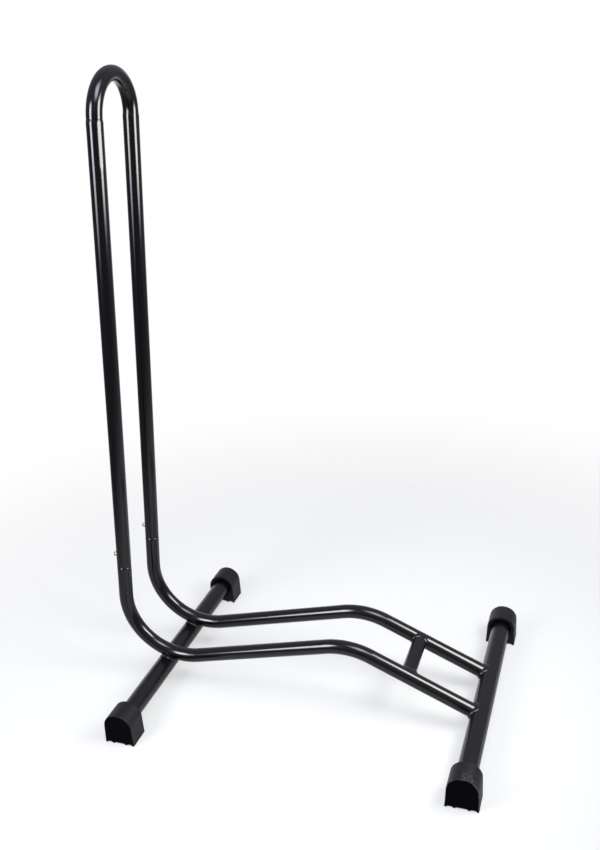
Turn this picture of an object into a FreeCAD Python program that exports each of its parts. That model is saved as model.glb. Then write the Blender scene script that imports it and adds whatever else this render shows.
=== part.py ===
import FreeCAD, Part
import math
import os

# Floor bike rack: two bent tube rails carry a removable upright hoop, and stand on two cross tubes.
# The wheel stands between the rails and the hoop's legs. +X runs from the upright end to the low end,
# +Y to the left, +Z up. The origin is on the floor, in the middle of the rack. Millimetres.

# Tube stock
TUBE_DIAMETER = 19.05
TUBE_WALL = 1.2
FOOT_DIAMETER = 25.4
FOOT_WALL = 1.2

# Layout
RAIL_SPACING = 86.0            # between the axes of the two rails, and of the hoop's two legs
FOOT_SPACING = 438.0           # between the axes of the two foot tubes
FOOT_AXIS_HEIGHT = 25.0
REAR_WIDTH = 384.0             # over the end caps
FRONT_WIDTH = 374.0
LEG_LEAN = 4.0                 # degrees, the hoop leans towards the low end
RISE_ANGLE = 14.4              # degrees, from the rear foot up to the hump
FALL_ANGLE = 23.8              # degrees, from the hump down to the front foot
HEEL_RADIUS = 80.0             # the rail's bend under the hoop
HEEL_OFFSET = 29.5             # from the rear foot's axis forward to the centre of that bend
HUMP_RADIUS = 92.0
HOOP_BEND_HEIGHT = 738.0       # from the floor to the centre of the hoop's top bend
BEND_FLATTENING = 1.7          # the hoop's section in its bend is this much thinner towards the bend's centre
BEND_NARROWING = 0.6           # and this much thinner from rear to front
BEND_RUN_IN = 6.0              # the leg's last run, where its round section turns to the bend's oval
JOINT_RISE = 47.0              # along the leg, from the heel bend's end to the hoop's joint
SPREADER_DISTANCE = 104.0      # along the fall, from the front foot's axis

# Hoop joint: the rail's end is swaged down to a spigot inside the hoop's leg
SPIGOT_LENGTH = 38.0
SPIGOT_WALL = 1.2
SPIGOT_FIT = 0.3               # radial clearance in the hoop's leg
SPIGOT_LEAD_IN = 1.0
SHOULDER_LENGTH = 3.0
SHOULDER_BULGE = 0.35          # radius that the rounded shoulder stands out beyond a straight taper
HOOP_END_ROUND = 0.9

# Snap button and its leaf spring
BUTTON_DIAMETER = 6.0
BUTTON_PROUD = 5.0             # from the hoop's leg to the top of the dome
BUTTON_HEIGHT = 16.0           # along the leg, above the joint
BUTTON_HOLE_FIT = 0.2          # radial clearance in both walls
SHANK_DIAMETER = 3.0
SHANK_FIT = 0.05
RIVET_DIAMETER = 4.6
RIVET_HEIGHT = 0.7
STRIP_WIDTH = 7.0
STRIP_THICKNESS = 0.8
STRIP_CLEARANCE = 0.1          # from the strip's edges to the spigot's bore
STRIP_ABOVE_BUTTON = 7.0
STRIP_STRAIGHT = 18.0          # the strip's straight end, on the bore's wall
STRIP_LENGTH = 52.0
STRIP_KNEE_RADIUS = 12.0
STRIP_APEX_RADIUS = 2.0

# End cap: a moulded block with a rounded top, a flat ribbed base and a blind bore
CAP_LENGTH = 31.2
CAP_TOP_HEIGHT = 45.2
CAP_TOP_RADIUS = 19.2
CAP_BASE_WIDTH = 41.2
CAP_END_WALL = 4.0
CAP_FIT = 0.1                  # radial clearance on the foot tube
CAP_EDGE_ROUND = 0.7
RECESS_DIAMETER = 31.0
RECESS_DEPTH = 5.0
RIB_HEIGHT = 1.8
RIB_LAND = 1.4
RIB_BASE = 5.4
CORNER_CHAMFER = 1.2
INNER_RIB_OFFSET = 8.7         # from the cap's middle to each inner rib

# Welds
ROOT_GAP = 0.2                 # between two welded tubes, filled by the weld
WELD_LEG = 2.4
WELD_PAD_DIAMETER = 15.0       # the weld where a rail lies on the rear foot

tube_radius = TUBE_DIAMETER / 2
tube_bore = tube_radius - TUBE_WALL
foot_radius = FOOT_DIAMETER / 2
foot_bore = foot_radius - FOOT_WALL
rail_y = RAIL_SPACING / 2
spigot_radius = tube_bore - SPIGOT_FIT
spigot_bore = spigot_radius - SPIGOT_WALL
lean = math.radians(LEG_LEAN)
rise = math.radians(RISE_ANGLE)
fall = math.radians(FALL_ANGLE)
SIDES = (("left", 1), ("right", -1))

# Side view, seen along +Y: x is ahead of the rear foot's axis, z is above the floor
leg_up = FreeCAD.Vector(math.sin(lean), 0, math.cos(lean))
rise_way = FreeCAD.Vector(math.cos(rise), 0, math.sin(rise))
fall_way = FreeCAD.Vector(math.cos(fall), 0, -math.sin(fall))
rear_foot = FreeCAD.Vector(0, 0, FOOT_AXIS_HEIGHT)
front_foot = FreeCAD.Vector(FOOT_SPACING, 0, FOOT_AXIS_HEIGHT)
heel_reach = HEEL_RADIUS + tube_radius + ROOT_GAP + foot_radius
heel_centre = rear_foot + FreeCAD.Vector(HEEL_OFFSET, 0, math.sqrt(heel_reach ** 2 - HEEL_OFFSET ** 2))
leg_start = heel_centre + FreeCAD.Vector(-math.cos(lean), 0, math.sin(lean)) * HEEL_RADIUS
heel_end = heel_centre + FreeCAD.Vector(math.sin(rise), 0, -math.cos(rise)) * HEEL_RADIUS
heel_corner = leg_start - leg_up * HEEL_RADIUS * math.tan((math.pi / 2 + lean + rise) / 2)
hump_corner_x = (
    front_foot.z + front_foot.x * math.tan(fall) - heel_end.z + heel_end.x * math.tan(rise)
) / (math.tan(rise) + math.tan(fall))
hump_corner = heel_end + rise_way * ((hump_corner_x - heel_end.x) / math.cos(rise))
spreader_axis = front_foot - fall_way * SPREADER_DISTANCE

# Along the leg, from the heel bend's end
joint = JOINT_RISE
spigot_top = joint + SPIGOT_LENGTH
button_height = joint + BUTTON_HEIGHT
hoop_bend = (HOOP_BEND_HEIGHT - leg_start.z) / math.cos(lean)

# Across the leg, from its axis outwards
strip_face = math.sqrt(spigot_bore ** 2 - (STRIP_WIDTH / 2) ** 2) - STRIP_CLEARANCE
button_tip = tube_radius + BUTTON_PROUD

# The whole rack's middle, from the rear foot's axis
button_back = leg_start.x + button_height * math.sin(lean) - button_tip * math.cos(lean)
heel_back = heel_centre.x - HEEL_RADIUS - tube_radius
rack_back = min(button_back, heel_back, -CAP_BASE_WIDTH / 2)
rack_front = FOOT_SPACING + CAP_BASE_WIDTH / 2
TO_ORIGIN = FreeCAD.Vector(-(rack_back + rack_front) / 2, 0, 0)

Y_AXIS = FreeCAD.Vector(0, 1, 0)
Z_AXIS = FreeCAD.Vector(0, 0, 1)


def across(point, y):
    """The same place in the side view, moved to y."""
    return FreeCAD.Vector(point.x, y, point.z)


def rounded_path(points, radii):
    """Straight runs through the points, joined at each inner point by a tangent arc of its radius."""
    edges = []
    last = points[0]
    for before, corner, after, radius in zip(points, points[1:], points[2:], radii):
        way_in = (corner - before).normalize()
        way_out = (after - corner).normalize()
        half_turn = way_in.getAngle(way_out) / 2
        cut = radius * math.tan(half_turn)
        start = corner - way_in * cut
        end = corner + way_out * cut
        inwards = (way_out - way_in).normalize()
        middle = corner + inwards * (radius / math.cos(half_turn) - radius)
        edges.append(Part.LineSegment(last, start).toShape())
        edges.append(Part.Arc(start, middle, end).toShape())
        last = end
    edges.append(Part.LineSegment(last, points[-1]).toShape())
    return Part.Wire(edges)


def rod_along(path, radius):
    """A round rod along the path."""
    start = path.Edges[0].valueAt(path.Edges[0].FirstParameter)
    way = path.Edges[0].tangentAt(path.Edges[0].FirstParameter)
    section = Part.Wire([Part.makeCircle(radius, start, way)])
    return path.makePipeShell([section], True, False)


def rod_across(middle, radius, length):
    """A round rod along Y, centred on the middle."""
    return Part.makeCylinder(radius, length, middle - Y_AXIS * (length / 2), Y_AXIS)


def largest(shape):
    """The biggest solid of a shape."""
    return max(shape.Solids, key=lambda solid: solid.Volume)


def turned(points, axis_way=Z_AXIS):
    """A solid of revolution about the Z axis from (radius, height) points, then laid along axis_way.

    A three-item point is the middle of an arc between its neighbours."""
    edges = []
    closed = points + points[:1]
    here = closed[0]
    index = 1
    while index < len(closed):
        if len(closed[index]) == 3:
            arc = [FreeCAD.Vector(p[0], 0, p[1]) for p in (here, closed[index], closed[index + 1])]
            edges.append(Part.Arc(*arc).toShape())
            index += 1
        else:
            ends = [FreeCAD.Vector(p[0], 0, p[1]) for p in (here, closed[index])]
            edges.append(Part.LineSegment(*ends).toShape())
        here = closed[index]
        index += 1
    solid = Part.Face(Part.Wire(edges)).revolve(FreeCAD.Vector(), Z_AXIS, 360)
    solid.Placement = FreeCAD.Placement(FreeCAD.Vector(), FreeCAD.Rotation(Z_AXIS, axis_way))
    return solid


def on_leg(shape, y=0.0):
    """Moves a shape from the leg's own frame, with Z up the leg, to its place on the rack."""
    placed = shape.copy()
    turn = FreeCAD.Rotation(Y_AXIS, LEG_LEAN)
    placed.Placement = FreeCAD.Placement(across(leg_start, y), turn).multiply(placed.Placement)
    return placed


def button_hole():
    """The hole for a snap button through the rear of a leg, in the leg's frame."""
    radius = BUTTON_DIAMETER / 2 + BUTTON_HOLE_FIT
    centre = FreeCAD.Vector(0, 0, button_height)
    return Part.makeCylinder(radius, button_tip, centre, FreeCAD.Vector(-1, 0, 0))


def oval(middle, radius):
    """The edge of the hoop's flattened section in its bend, from the radius of the round section."""
    across_bend = radius - BEND_NARROWING / 2
    into_bend = radius - BEND_FLATTENING / 2
    return Part.Wire([Part.Ellipse(middle, across_bend, into_bend).toShape()])


def hoop_rod(radius):
    """A solid bar in the hoop's shape: round legs, short run-ins and a half turn of oval section."""
    round_end = hoop_bend - BEND_RUN_IN
    bend_section = Part.Face(oval(FreeCAD.Vector(0, rail_y, hoop_bend), radius))
    bar = bend_section.revolve(FreeCAD.Vector(0, 0, hoop_bend), FreeCAD.Vector(1, 0, 0), 180)
    for _, side in SIDES:
        leg_foot = FreeCAD.Vector(0, side * rail_y, joint)
        round_edge = Part.Wire([Part.makeCircle(radius, FreeCAD.Vector(0, side * rail_y, round_end))])
        oval_edge = oval(FreeCAD.Vector(0, side * rail_y, hoop_bend), radius)
        run_in = Part.makeLoft([round_edge, oval_edge], True, False)
        bar = bar.fuse([Part.makeCylinder(radius, round_end - joint, leg_foot), run_in])
    return bar


def make_hoop():
    """The upright hoop: one tube bent to an inverted U, with a button hole near each open end.

    Its ends are rounded outside, and its section is flattened in the bend."""
    outside = hoop_rod(tube_radius)
    end_edges = [
        edge for edge in outside.Edges
        if edge.BoundBox.ZMax < joint + HOOP_END_ROUND and edge.BoundBox.XLength > tube_radius
    ]
    outside = outside.makeFillet(HOOP_END_ROUND, end_edges)
    hoop = outside.cut(hoop_rod(tube_bore))
    for _, side in SIDES:
        hole = button_hole()
        hole.translate(Y_AXIS * side * rail_y)
        hoop = hoop.cut(hole)
    return on_leg(hoop)


def make_spigot():
    """The rail's swaged end in the leg's frame: a rounded shoulder, a neck and a button hole."""
    shoulder = joint - SHOULDER_LENGTH
    middle_radius = (tube_radius + spigot_radius) / 2 + SHOULDER_BULGE
    spigot = turned([
        (tube_bore, shoulder),
        (tube_radius, shoulder),
        (middle_radius, joint - SHOULDER_LENGTH / 3, "arc"),
        (spigot_radius, joint),
        (spigot_radius, spigot_top - SPIGOT_LEAD_IN),
        (spigot_bore + SPIGOT_WALL / 2, spigot_top),
        (spigot_bore, spigot_top),
        (spigot_bore, joint),
    ])
    return spigot.cut(button_hole())


def rail_path(y):
    """The rail's axis: down the leg, round the heel, up to the hump and down to the front foot."""
    leg_top = leg_start + leg_up * (joint - SHOULDER_LENGTH)
    points = [across(p, y) for p in (leg_top, heel_corner, hump_corner, front_foot)]
    return rounded_path(points, [HEEL_RADIUS, HUMP_RADIUS])


def make_rail(side):
    """One bent rail with its spigot, coped at its low end to the front foot tube."""
    y = side * rail_y
    path = rail_path(y)
    tube = rod_along(path, tube_radius).cut(rod_along(path, tube_bore))
    cope = rod_across(across(front_foot, y), foot_radius + ROOT_GAP, TUBE_DIAMETER * 2)
    tube = tube.cut(cope)
    rail = tube.fuse(on_leg(make_spigot(), y)).removeSplitter()
    return largest(rail)


def make_foot_tube(axis, width):
    """A straight foot tube that ends on the end walls of its two caps."""
    length = width - 2 * CAP_END_WALL
    return rod_across(axis, foot_radius, length).cut(rod_across(axis, foot_bore, length))


def make_spreader():
    """The short cross tube between the rails, coped to both."""
    tube = rod_across(spreader_axis, tube_radius, RAIL_SPACING)
    tube = tube.cut(rod_across(spreader_axis, tube_bore, RAIL_SPACING))
    for _, side in SIDES:
        start = across(spreader_axis, side * rail_y) - fall_way * TUBE_DIAMETER
        tube = tube.cut(Part.makeCylinder(tube_radius + ROOT_GAP, 2 * TUBE_DIAMETER, start, fall_way))
    return largest(tube)


def rib_points(middle):
    """One rib of the base as (x, z) points, from left to right."""
    return [
        (middle - RIB_BASE / 2, RIB_HEIGHT),
        (middle - RIB_LAND / 2, 0),
        (middle + RIB_LAND / 2, 0),
        (middle + RIB_BASE / 2, RIB_HEIGHT),
    ]


def cap_outline():
    """The cap's end view: a round top, sides drawn tangent to it down to a base with four ribs."""
    half = CAP_BASE_WIDTH / 2
    centre_z = CAP_TOP_HEIGHT - CAP_TOP_RADIUS
    corner_x, corner_z = half, CORNER_CHAMFER - centre_z
    reach = math.hypot(corner_x, corner_z)
    angle = math.atan2(corner_z, corner_x) + math.acos(CAP_TOP_RADIUS / reach)
    side_x = CAP_TOP_RADIUS * math.cos(angle)
    side_z = centre_z + CAP_TOP_RADIUS * math.sin(angle)
    corner_rib = [
        (half, CORNER_CHAMFER),
        (half - CORNER_CHAMFER, 0),
        (half - CORNER_CHAMFER - RIB_LAND, 0),
        (half - CORNER_CHAMFER - (RIB_LAND + RIB_BASE) / 2, RIB_HEIGHT),
    ]
    base = [(-side_x, side_z)] + [(-x, z) for x, z in corner_rib]
    base += rib_points(-INNER_RIB_OFFSET) + rib_points(INNER_RIB_OFFSET)
    base += corner_rib[::-1] + [(side_x, side_z)]
    corners = [FreeCAD.Vector(x, 0, z) for x, z in base]
    edges = [Part.LineSegment(a, b).toShape() for a, b in zip(corners, corners[1:])]
    top = FreeCAD.Vector(0, 0, CAP_TOP_HEIGHT)
    edges.append(Part.Arc(corners[-1], top, corners[0]).toShape())
    return Part.Wire(edges)


def make_cap(axis, width, side):
    """One end cap. Its closed end faces outwards and its recessed mouth faces the middle."""
    block = Part.Face(cap_outline()).extrude(Y_AXIS * CAP_LENGTH)
    outer_arc = [
        edge for edge in block.Edges
        if edge.BoundBox.YMin > CAP_LENGTH / 2 and edge.BoundBox.ZMax > CAP_TOP_RADIUS
    ]
    block = block.makeFillet(CAP_EDGE_ROUND, outer_arc)
    bore_axis = FreeCAD.Vector(0, 0, FOOT_AXIS_HEIGHT)
    bore_depth = CAP_LENGTH - CAP_END_WALL
    block = block.cut(Part.makeCylinder(foot_radius + CAP_FIT, bore_depth, bore_axis, Y_AXIS))
    block = block.cut(Part.makeCylinder(RECESS_DIAMETER / 2, RECESS_DEPTH, bore_axis, Y_AXIS))
    block.translate(Y_AXIS * (width / 2 - CAP_LENGTH))
    if side < 0:
        block = block.mirror(FreeCAD.Vector(), Y_AXIS)
    block.translate(FreeCAD.Vector(axis.x, 0, 0))
    return block


def make_button(side):
    """A snap button: a domed pin through both walls, riveted to the leaf spring behind it."""
    radius = BUTTON_DIAMETER / 2
    strip_back = strip_face - STRIP_THICKNESS
    dome = button_tip - radius
    half_root = math.sqrt(0.5)
    button = turned([
        (0, strip_back - RIVET_HEIGHT),
        (RIVET_DIAMETER / 2, strip_back - RIVET_HEIGHT),
        (RIVET_DIAMETER / 2, strip_back),
        (SHANK_DIAMETER / 2, strip_back),
        (SHANK_DIAMETER / 2, strip_face),
        (radius, strip_face),
        (radius, dome),
        (radius * half_root, dome + radius * half_root, "arc"),
        (0, button_tip),
    ], FreeCAD.Vector(-1, 0, 0))
    button.translate(Z_AXIS * button_height)
    return on_leg(button, side * rail_y)


def make_button_spring(side):
    """A leaf spring bent to a V. Its straight ends lie on the bore's wall, one under the button."""
    top = button_height + STRIP_ABOVE_BUTTON
    middle = strip_face - STRIP_THICKNESS / 2
    points = [
        FreeCAD.Vector(-middle, 0, top),
        FreeCAD.Vector(-middle, 0, top - STRIP_STRAIGHT),
        FreeCAD.Vector(0, 0, top - STRIP_LENGTH),
        FreeCAD.Vector(middle, 0, top - STRIP_STRAIGHT),
        FreeCAD.Vector(middle, 0, top),
    ]
    path = rounded_path(points, [STRIP_KNEE_RADIUS, STRIP_APEX_RADIUS, STRIP_KNEE_RADIUS])
    start = FreeCAD.Vector(-middle - STRIP_THICKNESS / 2, -STRIP_WIDTH / 2, top)
    section = Part.makePlane(STRIP_THICKNESS, STRIP_WIDTH, start).OuterWire
    spring = path.makePipeShell([section], True, False)
    hole_radius = SHANK_DIAMETER / 2 + SHANK_FIT
    hole_start = FreeCAD.Vector(0, 0, button_height)
    spring = spring.cut(
        Part.makeCylinder(hole_radius, button_tip, hole_start, FreeCAD.Vector(-1, 0, 0))
    )
    return on_leg(spring, side * rail_y)


def make_rear_weld(side):
    """The weld pad that fills the crevice round the place where a rail lies on the rear foot."""
    y = side * rail_y
    to_heel = (heel_centre - rear_foot).normalize()
    touch = across(rear_foot + to_heel * foot_radius, y)
    pad = Part.makeCylinder(
        WELD_PAD_DIAMETER / 2, TUBE_DIAMETER, touch - to_heel * (TUBE_DIAMETER / 2), to_heel
    )
    pad = pad.cut(rod_across(across(rear_foot, y), foot_radius, RAIL_SPACING))
    pad = pad.cut(rod_along(rail_path(y), tube_radius))
    return largest(pad)


def weld_collar(rod, grown_rod, base, grown_base):
    """The weld round a rod's end where it meets a base tube."""
    return largest(grown_rod.common(grown_base).cut(base).cut(rod))


def make_front_weld(side):
    """The weld round a rail's low end on the front foot."""
    foot_middle = across(front_foot, side * rail_y)
    start = foot_middle - fall_way * (2 * FOOT_DIAMETER)
    rod = Part.makeCylinder(tube_radius, 2 * FOOT_DIAMETER, start, fall_way)
    grown_rod = Part.makeCylinder(tube_radius + WELD_LEG, 2 * FOOT_DIAMETER, start, fall_way)
    foot = rod_across(foot_middle, foot_radius, RAIL_SPACING)
    grown_foot = rod_across(foot_middle, foot_radius + WELD_LEG, RAIL_SPACING)
    return weld_collar(rod, grown_rod, foot, grown_foot)


def make_spreader_weld(side):
    """The weld round one end of the spreader on the inside of a rail."""
    end = across(spreader_axis, side * rail_y)
    rod = Part.makeCylinder(tube_radius, rail_y, end, Y_AXIS * -side)
    grown_rod = Part.makeCylinder(tube_radius + WELD_LEG, rail_y, end, Y_AXIS * -side)
    start = end - fall_way * TUBE_DIAMETER
    rail = Part.makeCylinder(tube_radius, 2 * TUBE_DIAMETER, start, fall_way)
    grown_rail = Part.makeCylinder(tube_radius + WELD_LEG, 2 * TUBE_DIAMETER, start, fall_way)
    return weld_collar(rod, grown_rod, rail, grown_rail)


def make_rack():
    """Every node's shape by its name."""
    rack = {
        "hoop_tube": make_hoop(),
        "rear_foot_tube": make_foot_tube(rear_foot, REAR_WIDTH),
        "front_foot_tube": make_foot_tube(front_foot, FRONT_WIDTH),
        "spreader_tube": make_spreader(),
    }
    for name, side in SIDES:
        rack[f"{name}_rail"] = make_rail(side)
        rack[f"{name}_snap_button"] = make_button(side)
        rack[f"{name}_button_spring"] = make_button_spring(side)
        rack[f"rear_{name}_end_cap"] = make_cap(rear_foot, REAR_WIDTH, side)
        rack[f"front_{name}_end_cap"] = make_cap(front_foot, FRONT_WIDTH, side)
        rack[f"rear_{name}_weld"] = make_rear_weld(side)
        rack[f"front_{name}_weld"] = make_front_weld(side)
        rack[f"spreader_{name}_weld"] = make_spreader_weld(side)
    return rack


os.makedirs("parts", exist_ok=True)
for node, shape in make_rack().items():
    shape.translate(TO_ORIGIN)
    box = shape.BoundBox
    print(
        f"{node:22s} solids {len(shape.Solids)} valid {shape.isValid()} volume {shape.Volume:10.1f}"
        f" x {box.XMin:7.2f} {box.XMax:7.2f} y {box.YMin:7.2f} {box.YMax:7.2f}"
        f" z {box.ZMin:7.2f} {box.ZMax:7.2f}"
    )
    shape.exportStep(f"parts/{node}.step")
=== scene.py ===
import math

import bmesh
import bpy
import numpy as np
from mathutils import Matrix, Vector


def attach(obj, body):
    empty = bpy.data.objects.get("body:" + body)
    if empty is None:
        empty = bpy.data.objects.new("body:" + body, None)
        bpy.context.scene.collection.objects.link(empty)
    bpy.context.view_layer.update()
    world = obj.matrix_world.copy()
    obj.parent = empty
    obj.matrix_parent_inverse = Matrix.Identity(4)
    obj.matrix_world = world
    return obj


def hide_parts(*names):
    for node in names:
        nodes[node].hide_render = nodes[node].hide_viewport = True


# Looks of the floor bike rack: black powder-coated steel tubes, moulded end caps, plated snap buttons.
# The frame's axes: +X to the low end, +Y left, +Z up, origin on the floor under the middle. Metres.

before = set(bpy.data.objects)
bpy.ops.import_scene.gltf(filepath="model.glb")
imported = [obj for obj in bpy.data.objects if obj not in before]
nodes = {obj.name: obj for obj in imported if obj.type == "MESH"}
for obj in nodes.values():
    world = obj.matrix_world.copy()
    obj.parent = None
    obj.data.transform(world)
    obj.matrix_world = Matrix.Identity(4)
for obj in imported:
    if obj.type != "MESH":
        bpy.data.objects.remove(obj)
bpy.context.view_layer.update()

MM = 0.001

# The real sizes that the new pieces share with the solids, in mm
TUBE_RADIUS = 9.525
TUBE_WALL = 1.2
FOOT_RADIUS = 12.7
RAIL_SPACING = 86.0
FOOT_SPACING = 438.0
AXIS_HEIGHT = 25.0
REAR_WIDTH = 384.0
FRONT_WIDTH = 374.0
LEG_LEAN = math.radians(4.0)
FALL_ANGLE = math.radians(23.8)
HEEL_RADIUS = 80.0
HEEL_OFFSET = 29.5
HOOP_BEND_HEIGHT = 738.0
JOINT_RISE = 47.0
SPREADER_DISTANCE = 104.0
ROOT_GAP = 0.2
BUTTON_RISE = 16.0
BUTTON_HOLE_RADIUS = 3.2
TO_MIDDLE = -199.1               # from the rear foot's axis to the frame's origin

RAIL_Y = RAIL_SPACING / 2
SIDES = (("left", 1), ("right", -1))

X_AXIS = np.array([1.0, 0.0, 0.0])
Y_AXIS = np.array([0.0, 1.0, 0.0])
REAR_FOOT = np.array([TO_MIDDLE, 0.0, AXIS_HEIGHT])
FRONT_FOOT = REAR_FOOT + FOOT_SPACING * X_AXIS
FALL_WAY = np.array([math.cos(FALL_ANGLE), 0.0, -math.sin(FALL_ANGLE)])
LEG_UP = np.array([math.sin(LEG_LEAN), 0.0, math.cos(LEG_LEAN)])
LEG_BACK = np.array([-math.cos(LEG_LEAN), 0.0, math.sin(LEG_LEAN)])
HEEL_REACH = HEEL_RADIUS + TUBE_RADIUS + ROOT_GAP + FOOT_RADIUS
TO_HEEL = np.array([HEEL_OFFSET, 0.0, math.sqrt(HEEL_REACH ** 2 - HEEL_OFFSET ** 2)]) / HEEL_REACH
LEG_START = REAR_FOOT + HEEL_REACH * TO_HEEL + HEEL_RADIUS * LEG_BACK
BEND_START = (HOOP_BEND_HEIGHT - LEG_START[2]) / math.cos(LEG_LEAN)


# ---------------------------------------------------------------- meshes

SHARP_EDGE = 40.0                # degrees between two faces, above which their edge stays sharp


def new_piece(name, points, closed_rows, closed_cols, marks=None, sharp=SHARP_EDGE):
    """A piece from a grid of points in mm: quads between neighbours, poles merged, faces turned outwards.

    The marks are attributes by name, one share per point. Edges above the sharp angle stay sharp."""
    rows, cols = points.shape[:2]
    index = np.arange(rows * cols).reshape(rows, cols)
    if closed_rows:
        index = np.vstack([index, index[:1]])
    if closed_cols:
        index = np.hstack([index, index[:, :1]])
    quads = np.stack([index[:-1, :-1], index[:-1, 1:], index[1:, 1:], index[1:, :-1]], -1)
    mesh = bpy.data.meshes.new(name)
    mesh.from_pydata((points.reshape(-1, 3) * MM).tolist(), [], quads.reshape(-1, 4).tolist())
    for mark, shares in (marks or {}).items():
        attribute = mesh.attributes.new(mark, "FLOAT", "POINT")
        attribute.data.foreach_set("value", shares.astype(np.float32).ravel())
    work = bmesh.new()
    work.from_mesh(mesh)
    bmesh.ops.remove_doubles(work, verts=work.verts, dist=1e-6)
    bmesh.ops.recalc_face_normals(work, faces=work.faces)
    work.to_mesh(mesh)
    work.free()
    mesh.shade_smooth()
    mesh.set_sharp_from_angle(angle=math.radians(sharp))
    piece = bpy.data.objects.new(name, mesh)
    bpy.context.scene.collection.objects.link(piece)
    return piece


def joined(name, pieces):
    """Several meshes as one piece."""
    work = bmesh.new()
    for piece in pieces:
        work.from_mesh(piece.data)
        bpy.data.objects.remove(piece)
    mesh = bpy.data.meshes.new(name)
    work.to_mesh(mesh)
    work.free()
    whole = bpy.data.objects.new(name, mesh)
    bpy.context.scene.collection.objects.link(whole)
    return whole


def drilled(piece, drill):
    """The piece with the drill's space cut out of it."""
    cut = piece.modifiers.new("drill", "BOOLEAN")
    cut.operation = "DIFFERENCE"
    cut.solver = "EXACT"
    cut.object = drill
    evaluated = piece.evaluated_get(bpy.context.evaluated_depsgraph_get())
    mesh = bpy.data.meshes.new_from_object(evaluated)
    piece.modifiers.clear()
    piece.data = mesh
    bpy.data.objects.remove(drill)
    return piece


def rod(name, start, end, radius, sides=48):
    """A closed round bar between two points, in mm."""
    way = (end - start) / np.linalg.norm(end - start)
    first, second = square_to(way)
    around = np.linspace(0, 2 * math.pi, sides, endpoint=False)
    ring = radius * (np.cos(around)[:, None] * first + np.sin(around)[:, None] * second)
    rings = [start + 0 * ring, start + ring, end + ring, end + 0 * ring]
    return new_piece(name, np.array(rings), False, True)


def square_to(way):
    """Two unit vectors square to the given one and to each other."""
    helper = Y_AXIS if abs(way[1]) < 0.9 else X_AXIS
    first = np.cross(way, helper)
    first /= np.linalg.norm(first)
    return first, np.cross(way, first)


def unit(vectors):
    """The vectors at a length of 1."""
    return vectors / np.linalg.norm(vectors, axis=-1, keepdims=True)


def smooth_step(value, start, end):
    """0 before start, 1 after end, and 3t^2 - 2t^3 between them."""
    t = np.clip((value - start) / (end - start), 0, 1)
    return t * t * (3 - 2 * t)


# ---------------------------------------------------------------- materials

def linear(code):
    """An sRGB hex colour as Blender's linear RGBA."""
    shares = [int(code[i:i + 2], 16) / 255 for i in (1, 3, 5)]
    return [s / 12.92 if s <= 0.04045 else ((s + 0.055) / 1.055) ** 2.4 for s in shares] + [1.0]


def add(tree, kind, links=(), values=None, **settings):
    """Adds a node: links feed its sockets, values fill them by name or number, settings are its own."""
    made = tree.nodes.new(kind)
    for name, setting in settings.items():
        setattr(made, name, setting)
    for socket, value in (values or {}).items():
        made.inputs[socket].default_value = value
    for source, socket in links:
        tree.links.new(source, made.inputs[socket])
    return made


def new_material(name):
    """A material with no nodes yet, and its node tree."""
    material = bpy.data.materials.new(name)
    material.use_nodes = True
    material.node_tree.nodes.clear()
    return material, material.node_tree


def powder_coat(name, colour, specular, roughness, peel_mm, peel_depth_mm):
    """Polyester powder coat baked on steel tube: deep black, a soft orange peel, and faint uneven gloss.

    The peel's waves have the given spacing and depth. The gloss drifts over patches of 35 mm."""
    material, tree = new_material(name)
    place = add(tree, "ShaderNodeTexCoord").outputs["Object"]
    peel = add(tree, "ShaderNodeTexNoise", [(place, "Vector")], {"Scale": 1 / (peel_mm * MM), "Detail": 1.5})
    cloud = add(tree, "ShaderNodeTexNoise", [(place, "Vector")], {"Scale": 1 / (35 * MM), "Detail": 3.0})
    gloss = add(
        tree, "ShaderNodeMapRange", [(cloud.outputs[0], "Value")],
        {"To Min": roughness * 0.88, "To Max": roughness * 1.12},
    )
    bump = add(
        tree, "ShaderNodeBump", [(peel.outputs[0], "Height")],
        {"Strength": 1.0, "Distance": peel_depth_mm * MM},
    )
    shader = add(
        tree, "ShaderNodeBsdfPrincipled",
        [(gloss.outputs[0], "Roughness"), (bump.outputs[0], "Normal")],
        {"Base Color": linear(colour), "Specular IOR Level": specular},
    )
    add(tree, "ShaderNodeOutputMaterial", [(shader.outputs[0], "Surface")])
    return material


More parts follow.
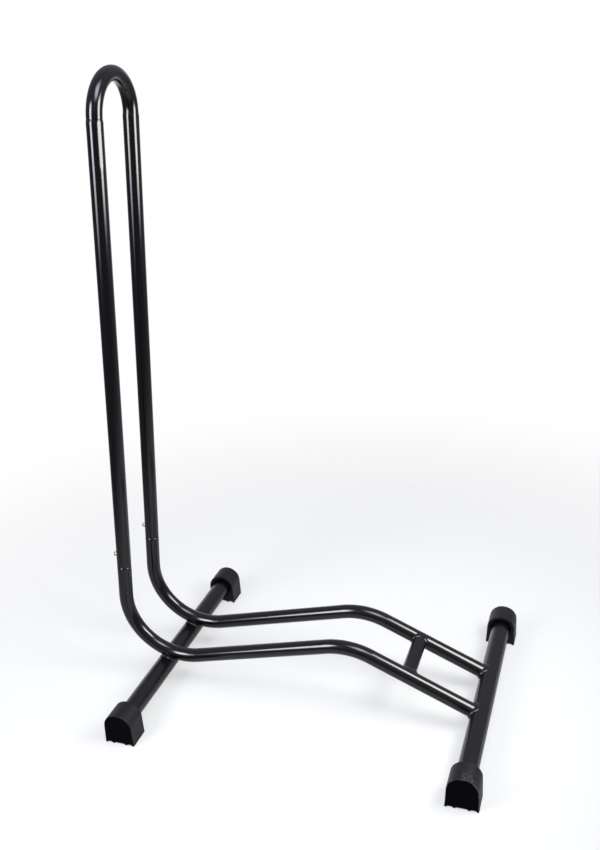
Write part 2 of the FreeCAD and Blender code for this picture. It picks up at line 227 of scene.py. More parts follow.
def moulded_polypropylene(name, colour, roughness, specular):
    """Moulded end caps: a spark-eroded mould's fine grain, matte black, with pale rubbed edges.

    The real grain is much finer and is drawn at 0.9 mm, so that it shows close up. The edges are
    rubbed pale where the wear attribute meets patches of 7 mm, and a knocked place has flecks of
    about 2 mm where the scuffs attribute says so."""
    material, tree = new_material(name)
    place = add(tree, "ShaderNodeTexCoord").outputs["Object"]
    grain = add(tree, "ShaderNodeTexNoise", [(place, "Vector")], {"Scale": 1 / (0.9 * MM), "Detail": 2.0})
    bump = add(
        tree, "ShaderNodeBump", [(grain.outputs[0], "Height")], {"Strength": 1.0, "Distance": 0.03 * MM}
    )
    patches = add(tree, "ShaderNodeTexNoise", [(place, "Vector")], {"Scale": 1 / (7 * MM), "Detail": 4.0})
    rubbed = add(tree, "ShaderNodeAttribute", attribute_name="wear")
    worn = add(
        tree, "ShaderNodeMath", [(rubbed.outputs["Fac"], 0), (patches.outputs[0], 1)], operation="MULTIPLY"
    )
    edges = add(
        tree, "ShaderNodeMapRange", [(worn.outputs[0], "Value")], {"From Min": 0.47, "From Max": 0.7}
    )
    specks = add(tree, "ShaderNodeTexNoise", [(place, "Vector")], {"Scale": 1 / (2.2 * MM), "Detail": 2.0})
    flecks = add(
        tree, "ShaderNodeMapRange", [(specks.outputs[0], "Value")], {"From Min": 0.57, "From Max": 0.66}
    )
    scuffed = add(tree, "ShaderNodeAttribute", attribute_name="scuffs")
    scuffs = add(
        tree, "ShaderNodeMath", [(flecks.outputs[0], 0), (scuffed.outputs["Fac"], 1)], operation="MULTIPLY"
    )
    share = add(tree, "ShaderNodeMath", [(edges.outputs[0], 0), (scuffs.outputs[0], 1)], operation="MAXIMUM")
    colour = add(
        tree, "ShaderNodeMix", [(share.outputs[0], 0)], {6: linear(colour), 7: linear("#5f5d62")},
        data_type="RGBA",
    )
    shader = add(
        tree, "ShaderNodeBsdfPrincipled", [(colour.outputs[2], "Base Color"), (bump.outputs[0], "Normal")],
        {"Roughness": roughness, "Specular IOR Level": specular},
    )
    add(tree, "ShaderNodeOutputMaterial", [(shader.outputs[0], "Surface")])
    return material


def plated_steel():
    """Turned and zinc-plated snap buttons: bright warm grey metal with a soft, slightly cloudy gloss.

    The plating's clouds are drawn 1.5 mm across."""
    material, tree = new_material("zinc_plated_steel")
    place = add(tree, "ShaderNodeTexCoord").outputs["Object"]
    cloud = add(tree, "ShaderNodeTexNoise", [(place, "Vector")], {"Scale": 1 / (1.5 * MM), "Detail": 2.0})
    gloss = add(tree, "ShaderNodeMapRange", [(cloud.outputs[0], "Value")], {"To Min": 0.38, "To Max": 0.55})
    shader = add(
        tree, "ShaderNodeBsdfPrincipled", [(gloss.outputs[0], "Roughness")],
        {"Base Color": linear("#c2b9aa"), "Metallic": 1.0},
    )
    add(tree, "ShaderNodeOutputMaterial", [(shader.outputs[0], "Surface")])
    return material


def tempered_spring_steel():
    """Rolled and oil-tempered spring strip: dark blue-grey metal with fine rolling lines.

    The real lines are much finer and are drawn at 0.4 mm, so that they show. The pattern is 25 times
    longer upwards, which is along the strip."""
    material, tree = new_material("oil_tempered_spring_steel")
    place = add(tree, "ShaderNodeTexCoord").outputs["Object"]
    drawn = add(tree, "ShaderNodeMapping", [(place, "Vector")], {"Scale": (1, 1, 0.04)})
    lines = add(tree, "ShaderNodeTexNoise", [(drawn.outputs[0], "Vector")], {"Scale": 1 / (0.4 * MM)})
    gloss = add(tree, "ShaderNodeMapRange", [(lines.outputs[0], "Value")], {"To Min": 0.3, "To Max": 0.5})
    shader = add(
        tree, "ShaderNodeBsdfPrincipled", [(gloss.outputs[0], "Roughness")],
        {"Base Color": linear("#5b5d63"), "Metallic": 1.0},
    )
    add(tree, "ShaderNodeOutputMaterial", [(shader.outputs[0], "Surface")])
    return material


# The hoop, the rails, and the front and spreader welds: high gloss. The peel is drawn long and very
# shallow, so that the lamps' streaks stay whole in a picture of this size
GLOSS_COAT = powder_coat(
    "gloss_black_powder_coat", "#050407", specular=0.7, roughness=0.14, peel_mm=6.0, peel_depth_mm=0.003
)
# The foot tubes, the spreader and the rear welds: duller, with a short peel that spreads the light
SATIN_COAT = powder_coat(
    "satin_black_powder_coat", "#09080b", specular=0.55, roughness=0.25, peel_mm=1.6, peel_depth_mm=0.008
)
# The caps' sides and tops, and their end faces: a rougher copy whose darker colour and almost no specular
# are painted shade that keeps the ends near black
CAP_PLASTIC = moulded_polypropylene("moulded_polypropylene", "#0a090e", roughness=0.5, specular=0.42)
CAP_END_PAINTED_SHADE = moulded_polypropylene(
    "polypropylene_with_painted_shade", "#070609", roughness=0.8, specular=0.05
)
BUTTON_METAL = plated_steel()
SPRING_METAL = tempered_spring_steel()


def dress(piece, material, body=None, stands_for=()):
    """Gives a piece its material, and a new piece its body, and hides the nodes that it replaces."""
    piece.data.materials.clear()
    piece.data.materials.append(material)
    if body:
        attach(piece, body)
    if stands_for:
        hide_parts(*stands_for)


# ---------------------------------------------------------------- pieces

# The marks that the tube bender leaves on the hoop, in mm, by the distance from the bend's ends
BEND_FLATTENING = 1.7            # off the section's size towards the bend's centre
BEND_NARROWING = 0.6             # and from rear to front
OVAL_FROM, OVAL_TO = -5.0, 1.5   # the section turns oval from here on the leg to here in the bend
CREASE_DEPTH = 0.28              # the fine crease that the bending die leaves round the tube
CREASE_PLACE = 0.5
CREASE_WIDTH = 1.0
LAST_CREASE_SHARE = 0.3          # the second leg's crease is shallower
SWELL_HEIGHT = 0.09              # the tube swells a little under the crease
SWELL_PLACE = 5.0
SWELL_WIDTH = 3.0
CLAMP_FLAT_TURN = math.radians(-56)   # round the tube, from the hoop's outside towards the front
CLAMP_FLAT_SPREAD = 0.42         # radians
CLAMP_FLAT_DEPTH = 0.05          # of the radius
CLAMP_START = (0.5, 3.0)
CLAMP_END = (47.0, 52.0)
HOOP_END_ROUND = 0.2
SECTION_POINTS = 96
DRILL_FROM, DRILL_TO = 3, 15     # the button hole's drill, out from the leg's axis


def hoop_line():
    """The hoop's axis from the right leg's open end over the bend to the left leg's open end.

    It is two straight runs and a half circle, by the distance along it, with points closer together at
    the bend's ends. Returns each point's place, its way out of the bend, its distance from the bend and
    from the open end, and whether it is on the first leg."""
    run = BEND_START - JOINT_RISE
    turn = math.pi * RAIL_Y
    by_crease = np.linspace(0.3, 8.0, 28)
    straight = np.concatenate([
        np.linspace(0, 1.5, 7), np.linspace(3, 26, 12), np.linspace(30, run - 60, 26),
        np.linspace(run - 57, run - 9, 28), run - by_crease[::-1],
    ])
    arc = np.concatenate([[0], by_crease, np.linspace(9, turn - 9, 104), turn - by_crease[::-1], [turn]])
    distance = np.concatenate([straight, run + arc, 2 * run + turn - straight[::-1]])
    angle = np.clip((distance - run) / RAIL_Y, 0, math.pi)
    before = np.minimum(distance, run)
    after = np.maximum(distance - run - turn, 0)
    outwards = -np.cos(angle)[:, None] * Y_AXIS + np.sin(angle)[:, None] * LEG_UP
    middle = LEG_START + LEG_UP * (JOINT_RISE + before - after)[:, None] + RAIL_Y * outwards
    past_bend = np.maximum(run - distance, distance - run - turn)
    past_end = np.minimum(distance, 2 * run + turn - distance)
    return middle, outwards, past_bend, past_end, distance < run


def make_hoop():
    """The hoop: an oval section carried along its axis, outer wall up and inner wall back.

    The section is round on the legs. From each end of the bend on it is flatter towards the bend's
    centre and a little narrower across. At the bend's ends a fine crease goes round the tube, a bell
    over the distance, and below it the tube swells. Under the bend the first leg has the shallow flat
    that the bender's clamp leaves: the radius dips as a bell over the angle. The open ends are
    rolled in by a quarter circle."""
    middle, outwards, past_bend, past_end, first_leg = hoop_line()
    bent = smooth_step(-past_bend, OVAL_FROM, OVAL_TO)
    crease = CREASE_DEPTH * np.exp(-((past_bend - CREASE_PLACE) / CREASE_WIDTH) ** 2)
    crease *= np.where(first_leg, 1, LAST_CREASE_SHARE)
    swell = SWELL_HEIGHT * np.exp(-((past_bend - SWELL_PLACE) / SWELL_WIDTH) ** 2)
    around = np.linspace(0, 2 * math.pi, SECTION_POINTS, endpoint=False)
    tall = 1 - (BEND_FLATTENING / 2 * bent - swell) / TUBE_RADIUS
    wide = 1 - (BEND_NARROWING / 2 * bent - swell) / TUBE_RADIUS
    gripped = smooth_step(past_bend, *CLAMP_START) * (1 - smooth_step(past_bend, *CLAMP_END)) * first_leg
    turn = (around - CLAMP_FLAT_TURN + math.pi) % (2 * math.pi) - math.pi
    flat = 1 - CLAMP_FLAT_DEPTH * gripped[:, None] * np.exp(-(turn / CLAMP_FLAT_SPREAD) ** 2)
    dip = np.clip(1 - past_end / HOOP_END_ROUND, 0, 1)
    rolled = HOOP_END_ROUND * (1 - np.sqrt(1 - dip ** 2))
    bore = TUBE_RADIUS - TUBE_WALL + 0 * rolled
    walls = []
    for radius, shape in ((TUBE_RADIUS - rolled - crease, flat), (bore, 1 + 0 * flat)):
        out_size = ((radius * tall)[:, None] * shape * np.cos(around))[..., None]
        side_size = ((radius * wide)[:, None] * shape * np.sin(around))[..., None]
        walls.append(middle[:, None] + out_size * outwards[:, None] + side_size * LEG_BACK)
    piece = new_piece("hoop", np.concatenate([walls[0], walls[1][::-1]]), True, True)
    for side in (1, -1):
        middle = LEG_START + LEG_UP * (JOINT_RISE + BUTTON_RISE) + side * RAIL_Y * Y_AXIS
        start, end = middle + DRILL_FROM * LEG_BACK, middle + DRILL_TO * LEG_BACK
        drilled(piece, rod("drill", start, end, BUTTON_HOLE_RADIUS))
    piece.data.shade_smooth()
    piece.data.set_sharp_from_angle(angle=math.radians(SHARP_EDGE))
    return piece


# The weld beads, in mm, and in shares of the leg length where a comment says so
RIPPLE_PITCH = 1.5
RIPPLE_HEIGHT = 0.22
RIPPLE_LEVEL = 0.7               # taken off a ripple, so that the bead keeps about its size
RIPPLE_TRAIL = 0.8               # of a ripple, how far the toes are behind the middle
BEAD_HALF_WIDTH = 0.80           # of the leg, from the bead's middle to each toe
BEAD_HALF_HEIGHT = 0.40          # of the leg, from the middle to the crown
BEAD_STAND_OFF = 0.40            # of the leg, from the root to the middle, up the rod and along the base
BEAD_UNEVENNESS = 0.04           # of the leg, for each of one, two and three waves along the root
ROOT_SQUEEZE = 0.985             # of the rod's radius, so that two equal tubes still have a root at the side
FRONT_BEAD_LEG = 3.0
SPREADER_BEAD_LEG = 2.6
rng = np.random.default_rng(7)


def saddle_root(base_point, rod_way, base_way, rod_radius, base_radius, count=180):
    """The line round a rod where it meets a base tube, both crossing square at base_point.

    At each angle round the rod the line lies where the rod's surface is one base radius from the
    base's axis. Returns the root, both tubes' normals, and the unit ways up the rod and along the base."""
    up = np.cross(rod_way, base_way)
    angle = np.linspace(0, 2 * math.pi, count, endpoint=False)
    normal = np.cos(angle)[:, None] * base_way + np.sin(angle)[:, None] * up
    height = np.sqrt(base_radius ** 2 - (ROOT_SQUEEZE * rod_radius * np.sin(angle)) ** 2)
    root = base_point + height[:, None] * rod_way + rod_radius * normal
    along = unit(np.roll(root, -1, axis=0) - np.roll(root, 1, axis=0))
    base_normal = unit(height[:, None] * rod_way + (rod_radius * np.sin(angle))[:, None] * up)
    up_rod = unit(np.cross(normal, along))
    up_rod *= np.sign(up_rod @ rod_way)[:, None]
    up_base = unit(np.cross(along, base_normal))
    up_base *= np.sign(np.sum(up_base * normal, 1))[:, None]
    return root, normal, base_normal, up_rod, up_base


def bead(name, root, ways, normals, bends, leg, closed):
    """A weld bead along a root line, between two tubes with the given normals and bends (1 / radius).

    Its section is an oval whose long axis joins the toes on the two tubes, and it dips with the curve
    of both: half the square of the distance times the bend. Ripples are roots of a sine along the
    root line, and trail back towards the toes."""
    step = np.linalg.norm(np.diff(root, axis=0, append=root[:1]), axis=1)
    run = np.concatenate([[0], np.cumsum(step)[:-1]])
    length = run[-1] + (step[-1] if closed else 0)
    ripples = max(4, round(length / RIPPLE_PITCH))
    section = np.linspace(0, 2 * math.pi, 28, endpoint=False)
    across = BEAD_HALF_WIDTH * np.cos(section)
    out = BEAD_HALF_HEIGHT * np.sin(section)
    phase = (run / length * ripples)[:, None] + RIPPLE_TRAIL * np.cos(section)[None] ** 2
    ripple = (np.sqrt(np.abs(np.sin(math.pi * phase))) - RIPPLE_LEVEL) * RIPPLE_HEIGHT
    waves = 2 * math.pi * (run / length)[:, None] * np.array([1, 2, 3]) + rng.uniform(0, 6, 3)
    size = (leg * (1 + BEAD_UNEVENNESS * np.cos(waves).sum(1)))[:, None]
    up_rod = (BEAD_STAND_OFF + (across + out) / math.sqrt(2)) * size + ripple
    up_base = (BEAD_STAND_OFF + (out - across) / math.sqrt(2)) * size + ripple
    place = root[:, None] + up_rod[..., None] * ways[0][:, None] + up_base[..., None] * ways[1][:, None]
    place -= (up_rod ** 2 * bends[0][:, None] / 2)[..., None] * normals[0][:, None]
    place -= (up_base ** 2 * bends[1][:, None] / 2)[..., None] * normals[1][:, None]
    return new_piece(name, place, closed, True, sharp=180.0)


def saddle_bead(name, base_point, rod_way, base_way, rod_radius, base_radius, leg):
    """A weld bead all round a rod that ends on a base tube."""
    root, normal, base_normal, up_rod, up_base = saddle_root(
        base_point, rod_way, base_way, rod_radius, base_radius
    )
    rod_bend = (1 - (up_rod @ rod_way) ** 2) / rod_radius
    base_bend = (1 - (up_base @ base_way) ** 2) / base_radius
    return bead(
        name, root, (up_rod, up_base), (normal, base_normal), (rod_bend, base_bend), leg, True
    )


# The beads beside the rails' heels, in mm
CROSSING_HALF_LENGTH = 8.5
CROSSING_TAPER_LENGTH = 8.6      # where the sixth-power taper comes to nothing
CROSSING_OFFSET = 6.4            # the notch's line, sideways from the rail's axis
CROSSING_SHIFT = 0.4             # and the bead's middle outside it
CROSSING_BITE = 0.75             # how far the bead reaches into both tubes
CROSSING_RIPPLE = 0.10
CROSSING_WIDTH = 0.9             # of its height


def crossing_bead(name, side, face):
    """A short bead in the notch beside a rail's heel bend, on top of the rear foot.

    Along the rail the notch opens as both tubes curve away, and the bead's round section grows with
    it from the middle and closes to a point at both ends."""
    along_rail = np.cross(Y_AXIS, TO_HEEL)
    s = np.linspace(-CROSSING_HALF_LENGTH, CROSSING_HALF_LENGTH, 90)
    foot_top = np.sqrt(FOOT_RADIUS ** 2 - s ** 2)
    rail_axis = HEEL_REACH - np.sqrt(HEEL_RADIUS ** 2 - s ** 2)
    rail_under = rail_axis - math.sqrt(TUBE_RADIUS ** 2 - CROSSING_OFFSET ** 2)
    middle = (foot_top + rail_under) / 2
    half = (rail_under - foot_top) / 2 + CROSSING_BITE
    ripples = np.sqrt(np.abs(np.sin(math.pi * s / RIPPLE_PITCH))) - RIPPLE_LEVEL
    end = np.sqrt(np.clip(1 - (s / CROSSING_TAPER_LENGTH) ** 6, 0, 1))
    uneven = 1 + 0.05 * np.cos(s * 0.9 + rng.uniform(0, 6))
    size = (half * uneven + CROSSING_RIPPLE * ripples) * end
    around = np.linspace(0, 2 * math.pi, 24, endpoint=False)
    beside = CROSSING_OFFSET + CROSSING_SHIFT + size[:, None] * CROSSING_WIDTH * np.cos(around)
    y = side * RAIL_Y + face * beside
    z = middle[:, None] + size[:, None] * np.sin(around)
    place = REAR_FOOT + s[:, None, None] * along_rail + z[..., None] * TO_HEEL + y[..., None] * Y_AXIS
    caps = np.repeat(place[[0, -1]].mean(1, keepdims=True), place.shape[1], 1)
    return new_piece(name, np.concatenate([caps[:1], place, caps[1:]]), False, True, sharp=180.0)


# The end caps, in mm
CAP_LENGTH = 31.2
CAP_TOP_HEIGHT = 45.2
CAP_TOP_RADIUS = 19.2
CAP_BASE_WIDTH = 41.2
CAP_END_WALL = 4.0
CAP_BORE_RADIUS = 12.8
RECESS_RADIUS = 15.5
RECESS_DEPTH = 5.0
RIB_HEIGHT = 1.8
RIB_LAND = 1.4
RIB_BASE = 5.4
CORNER_CHAMFER = 1.2
INNER_RIB_OFFSET = 8.7
RIB_ROUND = 0.5
END_ROUND = 0.8                  # on the closed end's outer edge
MOUTH_ROUND = 0.4                # on the mouth's outer edge
LIP_ROUND = 0.25                 # on the recess's edge
RECESS_CORNER = 0.2              # in the recess's bottom
MOUTH_WEAR = 0.7                 # of the wear on the closed end's edge
LIP_WEAR = 0.5
KNOCK_ACROSS = 6                 # from the cap's middle towards +X, to the knocked place's middle
KNOCK_FROM_END = 4               # and from the closed end
KNOCK_NARROWING = 1.2            # the place is shorter along the tube than across it
KNOCK_REACH = (5, 13)            # the scuffs thin out between these distances
TOP_FROM = 36                    # the height from which a cap counts as its top


def softened(corners, radius, steps=5):
    """A closed line through the corners with each corner rounded: a parabola from side to side.

    The parabola starts a radius from the corner, or 0.45 of the shorter side where that is less."""
    corners = np.array(corners)
    before = np.roll(corners, 1, axis=0) - corners
    after = np.roll(corners, -1, axis=0) - corners
    shorter = np.minimum(np.linalg.norm(before, axis=1), np.linalg.norm(after, axis=1))
    cut = np.minimum(radius, 0.45 * shorter)
    start = corners + unit(before) * cut[:, None]
    end = corners + unit(after) * cut[:, None]
    t = np.linspace(0, 1, steps)[:, None, None]
    arcs = (1 - t) ** 2 * start + 2 * t * (1 - t) * corners + t ** 2 * end
    return arcs.transpose(1, 0, 2).reshape(-1, 2)


def cap_line():
    """The cap's end view as a closed line of (x, z): ribs, chamfered corners, leaning sides, round top."""
    half = CAP_BASE_WIDTH / 2
    centre = CAP_TOP_HEIGHT - CAP_TOP_RADIUS
    reach = math.hypot(half, CORNER_CHAMFER - centre)
    start = math.atan2(CORNER_CHAMFER - centre, half) + math.acos(CAP_TOP_RADIUS / reach)
    inner = half - CORNER_CHAMFER - RIB_LAND
    right = [
        (INNER_RIB_OFFSET - RIB_BASE / 2, RIB_HEIGHT), (INNER_RIB_OFFSET - RIB_LAND / 2, 0),
        (INNER_RIB_OFFSET + RIB_LAND / 2, 0), (INNER_RIB_OFFSET + RIB_BASE / 2, RIB_HEIGHT),
        (inner - (RIB_BASE - RIB_LAND) / 2, RIB_HEIGHT), (inner, 0),
        (inner + RIB_LAND, 0), (half, CORNER_CHAMFER),
    ]
    angles = np.linspace(start, math.pi - start, 60)
    top = np.stack([CAP_TOP_RADIUS * np.cos(angles), centre + CAP_TOP_RADIUS * np.sin(angles)], 1)
    base = softened(right + [(-x, z) for x, z in right[::-1]], RIB_ROUND)
    lowest = len(base) // 2
    return np.concatenate([base[:lowest], top, base[lowest:]])


def make_cap(name, x_middle, width, side, edge_wear, scuffs):
    """An end cap: its end view carried from the closed end, over the side, into the mouth and the bore.

    Each ring is the end view moved inwards along its own normals by the edge's round, or a circle at
    the same angles about the tube's axis. The wear attribute is highest on the outer edges, and the
    scuffs attribute is a soft spot round the place on the cap's top that has been knocked."""
    line = cap_line()
    ahead = np.roll(line, -1, axis=0) - np.roll(line, 1, axis=0)
    normal = unit(np.stack([ahead[:, 1], -ahead[:, 0]], 1))
    bore_middle = np.array([0, AXIS_HEIGHT])
    ray = unit(line - bore_middle)
    rings, wear = [], []

    def ring(points, depth, rubbed=0.0):
        rings.append((points, depth))
        wear.append(rubbed)

    turn = np.linspace(0, math.pi / 2, 6)
    for share in (0.0, 0.25, 0.5, 0.75, 0.93):
        ring(bore_middle + (line - bore_middle) * share, 0.0)
    for angle in turn:
        ring(line - normal * END_ROUND * (1 - math.sin(angle)), END_ROUND * (1 - math.cos(angle)), 1.0)
    for depth in np.linspace(END_ROUND + 0.8, CAP_LENGTH - MOUTH_ROUND - 0.5, 12):
        ring(line, depth)
    for angle in turn:
        depth = CAP_LENGTH - MOUTH_ROUND * (1 - math.sin(angle))
        ring(line - normal * MOUTH_ROUND * (1 - math.cos(angle)), depth, MOUTH_WEAR)
    recess_end = CAP_LENGTH - RECESS_DEPTH
    for radius, depth, rubbed in (
        (RECESS_RADIUS + LIP_ROUND, CAP_LENGTH, LIP_WEAR), (RECESS_RADIUS, CAP_LENGTH - LIP_ROUND, LIP_WEAR),
        (RECESS_RADIUS, recess_end + RECESS_CORNER, 0), (RECESS_RADIUS - RECESS_CORNER, recess_end, 0),
        (CAP_BORE_RADIUS, recess_end, 0), (CAP_BORE_RADIUS, CAP_END_WALL, 0), (0, CAP_END_WALL, 0),
    ):
        ring(bore_middle + ray * radius, depth, rubbed)
    points = np.array([
        np.stack([
            x_middle + flat[:, 0], np.full(len(flat), side * (width / 2 - depth)), flat[:, 1]
        ], 1) for flat, depth in rings
    ])
    worn = np.repeat(np.array(wear)[:, None], points.shape[1], 1) * edge_wear
    from_end = width / 2 - np.abs(points[..., 1])
    across = points[..., 0] - x_middle - KNOCK_ACROSS
    from_knock = np.hypot(across, KNOCK_NARROWING * (from_end - KNOCK_FROM_END))
    on_top = (points[..., 2] > TOP_FROM) & (from_end > 0.3)
    knocked = np.where(on_top, scuffs * (1 - smooth_step(from_knock, *KNOCK_REACH)), 0)
    return new_piece(name, points, False, True, {"wear": worn, "scuffs": knocked}, sharp=50.0)


def face_end(cap, width, side):
    """Gives a cap's end the darker copy of its plastic, which is painted shade: the faces within 0.5 mm of
    it that look outwards.
    """
    faces = cap.data.polygons
    normals = np.zeros(3 * len(faces), np.float32)
    middles = np.zeros(3 * len(faces), np.float32)
    faces.foreach_get("normal", normals)
    faces.foreach_get("center", middles)
    outwards = normals[1::3].astype(float) * side
    from_middle = np.abs(middles[1::3].astype(float)) / MM
    # painted shade: the end faces take the darker, almost unreflecting copy of the cap plastic
    cap.data.materials.append(CAP_END_PAINTED_SHADE)
    at_end = (outwards > 0.9) & (from_middle > width / 2 - 0.5)
    faces.foreach_set("material_index", at_end.astype(np.int32))


# How far each cap's edges are rubbed pale, and how scuffed its top is: the near low one is knocked most
CAP_WEAR = {
    ("rear", "left"): (0.75, 0.0), ("rear", "right"): (0.7, 0.0),
    ("front", "left"): (0.85, 0.3), ("front", "right"): (1.0, 1.0),
}

dress(make_hoop(), GLOSS_COAT, "rack", ["hoop_tube"])
for side_name, side in SIDES:
    dress(nodes[f"{side_name}_rail"], GLOSS_COAT)
    dress(nodes[f"{side_name}_snap_button"], BUTTON_METAL)
    dress(nodes[f"{side_name}_button_spring"], SPRING_METAL)
for node in ("rear_foot_tube", "front_foot_tube", "spreader_tube"):
    dress(nodes[node], SATIN_COAT)

for side_name, side in SIDES:
    rail_y = side * RAIL_Y * Y_AXIS
    front_bead = saddle_bead(
        f"front_{side_name}_bead", FRONT_FOOT + rail_y, -FALL_WAY, Y_AXIS, TUBE_RADIUS, FOOT_RADIUS,
        FRONT_BEAD_LEG,
    )
    dress(front_bead, GLOSS_COAT, "rack", [f"front_{side_name}_weld"])
    spreader_bead = saddle_bead(
        f"spreader_{side_name}_bead", FRONT_FOOT - SPREADER_DISTANCE * FALL_WAY + rail_y,
        -side * Y_AXIS, FALL_WAY, TUBE_RADIUS, TUBE_RADIUS, SPREADER_BEAD_LEG,
    )
    dress(spreader_bead, GLOSS_COAT, "rack", [f"spreader_{side_name}_weld"])
    rear_bead = joined(
        f"rear_{side_name}_beads", [crossing_bead("bead", side, 1), crossing_bead("bead", side, -1)]
    )
    dress(rear_bead, SATIN_COAT, "rack", [f"rear_{side_name}_weld"])
    for end, foot, width in (("rear", REAR_FOOT, REAR_WIDTH), ("front", FRONT_FOOT, FRONT_WIDTH)):
        cap = make_cap(f"{end}_{side_name}_cap", foot[0], width, side, *CAP_WEAR[end, side_name])
        dress(cap, CAP_PLASTIC, "rack", [f"{end}_{side_name}_end_cap"])
        face_end(cap, width, side)


# ---------------------------------------------------------------- studio

FLOOR_RADIUS = 1.2
FLOOR_SHARE = 0.5                # how solid the floor is round the rack
FLOOR_MIDDLE = (0.02, 0.08, 0)
FLOOR_FADE = (0.2, 1.05)         # from its middle, where it starts to thin out and where it ends
VIEW_HEADING = (math.cos(math.radians(110)), math.sin(math.radians(110)), 0)   # about the camera's
WHITE_EDGE = (0.74, 0.935)       # cosines of the angle from the heading, where the white ends and is full
WHITE_TOP = (0.08, 0.35)         # the ray's height, where the white starts to fade upwards and ends
FAR_EDGE = (-0.3, 0.5)           # the ray's Y, between the near side's greys and the far side's
GREY_RISE = (-0.2, 0.7)          # the ray's height, between the lower and the upper grey
NEAR_GREYS = (0.12, 0.34)        # the room's strength below and above, on the near side and the far
FAR_GREYS = (0.26, 0.44)


def make_floor():
    """A round pale floor that takes the shadows and thins out to the room's light towards its edge."""
    material, tree = new_material("pale_floor")
    place = add(tree, "ShaderNodeTexCoord").outputs["Object"]
    offset = add(tree, "ShaderNodeVectorMath", [(place, 0)], {1: FLOOR_MIDDLE}, operation="SUBTRACT")
    reach = add(tree, "ShaderNodeVectorMath", [(offset.outputs[0], 0)], operation="LENGTH")
    share = add(
        tree, "ShaderNodeMapRange", [(reach.outputs["Value"], "Value")],
        {"From Min": FLOOR_FADE[0], "From Max": FLOOR_FADE[1], "To Min": FLOOR_SHARE, "To Max": 0.0},
        interpolation_type="SMOOTHSTEP",
    )
    paint = add(
        tree, "ShaderNodeBsdfPrincipled",
        values={"Base Color": linear("#e4e4e4"), "Roughness": 0.9, "Specular IOR Level": 0.0},
    )
    clear = add(tree, "ShaderNodeBsdfTransparent")
    both = add(
        tree, "ShaderNodeMixShader", [(share.outputs[0], 0), (clear.outputs[0], 1), (paint.outputs[0], 2)]
    )
    add(tree, "ShaderNodeOutputMaterial", [(both.outputs[0], "Surface")])
    around = np.linspace(0, 2 * math.pi, 64, endpoint=False)
    edge = np.stack([FLOOR_RADIUS * np.cos(around), FLOOR_RADIUS * np.sin(around), 0 * around], 1)
    mesh = bpy.data.meshes.new("floor")
    mesh.from_pydata(edge.tolist(), [], [list(range(len(edge)))])
    mesh.materials.append(material)
    floor = bpy.data.objects.new("floor", mesh)
    bpy.context.scene.collection.objects.link(floor)


def make_world():
    """The room: white low behind the rack as the camera looks, and a plain dim grey all round.

    The grey rises from the lower to the upper value with the ray's height, and is lighter on the far
    side. The white is as wide as the view. It fades out to both sides and upwards. All these are
    smooth steps of the ray's way."""
    world = bpy.data.worlds.new("studio")
    world.use_nodes = True
    tree = world.node_tree
    tree.nodes.clear()
    way = add(tree, "ShaderNodeTexCoord").outputs["Generated"]
    parts = add(tree, "ShaderNodeSeparateXYZ", [(way, 0)])
    flat = add(tree, "ShaderNodeVectorMath", [(way, 0)], {1: (1, 1, 0)}, operation="MULTIPLY")
    heading = add(tree, "ShaderNodeVectorMath", [(flat.outputs[0], 0)], operation="NORMALIZE")
    ahead = add(
        tree, "ShaderNodeVectorMath", [(heading.outputs[0], 0)], {1: VIEW_HEADING}, operation="DOT_PRODUCT"
    )
    behind = add(
        tree, "ShaderNodeMapRange", [(ahead.outputs["Value"], "Value")],
        {"From Min": WHITE_EDGE[0], "From Max": WHITE_EDGE[1]}, interpolation_type="SMOOTHSTEP",
    )
    low = add(
        tree, "ShaderNodeMapRange", [(parts.outputs["Z"], "Value")],
        {"From Min": WHITE_TOP[0], "From Max": WHITE_TOP[1], "To Min": 1.0, "To Max": 0.0},
        interpolation_type="SMOOTHSTEP",
    )
    white = add(tree, "ShaderNodeMath", [(behind.outputs[0], 0), (low.outputs[0], 1)], operation="MULTIPLY")
    far_side = add(
        tree, "ShaderNodeMapRange", [(parts.outputs["Y"], "Value")],
        {"From Min": FAR_EDGE[0], "From Max": FAR_EDGE[1]}, interpolation_type="SMOOTHSTEP",
    )
    near_grey, far_grey = [
        add(
            tree, "ShaderNodeMapRange", [(parts.outputs["Z"], "Value")],
            {"From Min": GREY_RISE[0], "From Max": GREY_RISE[1], "To Min": below, "To Max": above},
            interpolation_type="SMOOTHSTEP",
        ) for below, above in (NEAR_GREYS, FAR_GREYS)
    ]
    grey = add(
        tree, "ShaderNodeMix",
        [(far_side.outputs[0], 0), (near_grey.outputs[0], 2), (far_grey.outputs[0], 3)], data_type="FLOAT",
    )
    level = add(
        tree, "ShaderNodeMix", [(white.outputs[0], 0), (grey.outputs[0], 2)], {3: 1.0}, data_type="FLOAT"
    )
    tint = add(
        tree, "ShaderNodeMix", [(white.outputs[0], 0)], {6: linear("#f3f0ff"), 7: linear("#ffffff")},
        data_type="RGBA",
    )
    sky = add(tree, "ShaderNodeBackground", [(tint.outputs[2], "Color"), (level.outputs[0], "Strength")])
    add(tree, "ShaderNodeOutputWorld", [(sky.outputs[0], "Surface")])
    bpy.context.scene.world = world


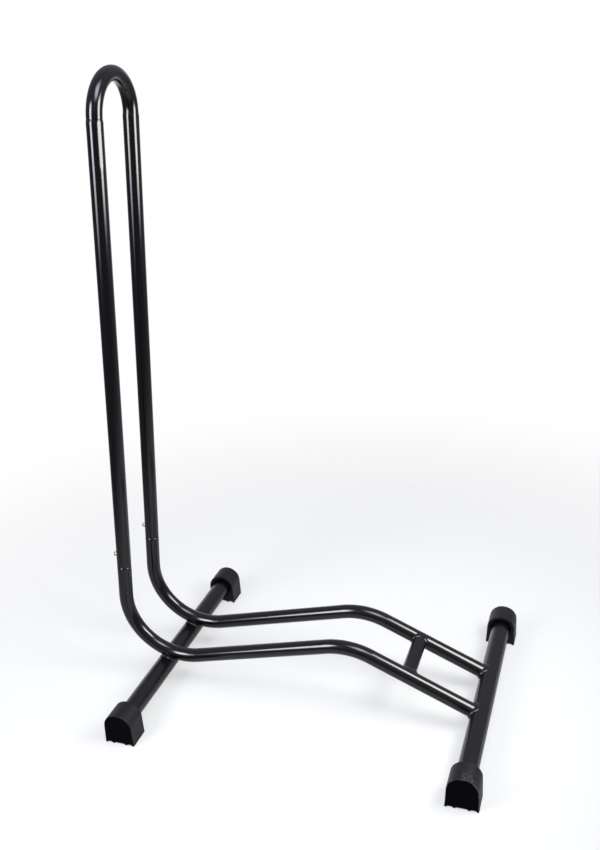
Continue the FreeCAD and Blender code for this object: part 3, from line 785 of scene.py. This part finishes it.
def softbox(name, place, aim, size, rim, radiance, colour):
    """A softbox turned to face the aim, whose front has the radiance and dims towards its rim.

    The rim is the share of the half width and of the half height over which the front fades to
    nothing in a smooth step. The lamp's power is the radiance times pi times its area."""
    width, height = size
    light = bpy.data.lights.new(name, "AREA")
    light.shape = "RECTANGLE"
    light.size = width
    light.size_y = height
    light.energy = radiance * math.pi * width * height
    light.color = linear(colour)[:3]
    light.use_nodes = True
    tree = light.node_tree
    tree.nodes.clear()
    on_front = add(tree, "ShaderNodeNewGeometry").outputs["Parametric"]
    centred = add(tree, "ShaderNodeVectorMath", [(on_front, 0)], {1: (0.5, 0.5, 0)}, operation="SUBTRACT")
    away = add(tree, "ShaderNodeVectorMath", [(centred.outputs[0], 0)], operation="ABSOLUTE")
    parts = add(tree, "ShaderNodeSeparateXYZ", [(away.outputs[0], 0)])
    shares = [
        add(
            tree, "ShaderNodeMapRange", [(parts.outputs[axis], "Value")],
            {"From Min": (1 - share) / 2, "From Max": 0.5, "To Min": 1.0, "To Max": 0.0},
            interpolation_type="SMOOTHSTEP",
        ).outputs[0] for axis, share in zip("XY", rim)
    ]
    both = add(tree, "ShaderNodeMath", [(shares[0], 0), (shares[1], 1)], operation="MULTIPLY")
    front = add(tree, "ShaderNodeEmission", [(both.outputs[0], "Strength")])
    add(tree, "ShaderNodeOutputLight", [(front.outputs[0], "Surface")])
    lamp = bpy.data.objects.new(name, light)
    bpy.context.scene.collection.objects.link(lamp)
    lamp.location = place
    lamp.rotation_mode = "QUATERNION"
    lamp.rotation_quaternion = (Vector(aim) - Vector(place)).to_track_quat("-Z", "Y")
    lamp.visible_camera = False


def make_camera():
    """The photograph's viewpoint: its place, its heading from +Y towards +X, its pitch down and its roll."""
    data = bpy.data.cameras.new("camera")
    data.sensor_width = 36.0
    data.lens = 40.30
    data.shift_x = 0.01176
    data.shift_y = 0.08824
    data.clip_start = 0.01
    data.clip_end = 100.0
    camera = bpy.data.objects.new("camera", data)
    bpy.context.scene.collection.objects.link(camera)
    heading, pitch, roll = math.radians(-19.589), math.radians(26.293), math.radians(-2.756)
    turned = Matrix.Rotation(-heading, 4, "Z") @ Matrix.Rotation(math.pi / 2 - pitch, 4, "X")
    placed = Matrix.Translation((0.34456, -1.02199, 0.81537))
    camera.matrix_world = placed @ turned @ Matrix.Rotation(roll, 4, "Z")
    bpy.context.scene.camera = camera


make_floor()
make_world()
softbox(
    "low_end_softbox", place=(0.55, -0.06, 0.72), aim=(-0.15, 0, 0.72), size=(0.42, 0.70), rim=(0.2, 0.5),
    radiance=13.5, colour="#fbfff6",
)
softbox(
    "upright_end_softbox", place=(-0.61, -0.88, 0.88), aim=(-0.15, -0.04, 0.88), size=(0.48, 1.06),
    rim=(0.35, 0.65), radiance=14.0, colour="#f4f8ff",
)
softbox(
    "overhead_softbox", place=(0.38, -0.52, 1.6), aim=(0.0, -0.04, 0.15), size=(1.1, 1.15), rim=(0.8, 0.8),
    radiance=8.0, colour="#e9f1ff",
)
make_camera()

bpy.context.scene.view_settings.view_transform = "Standard"
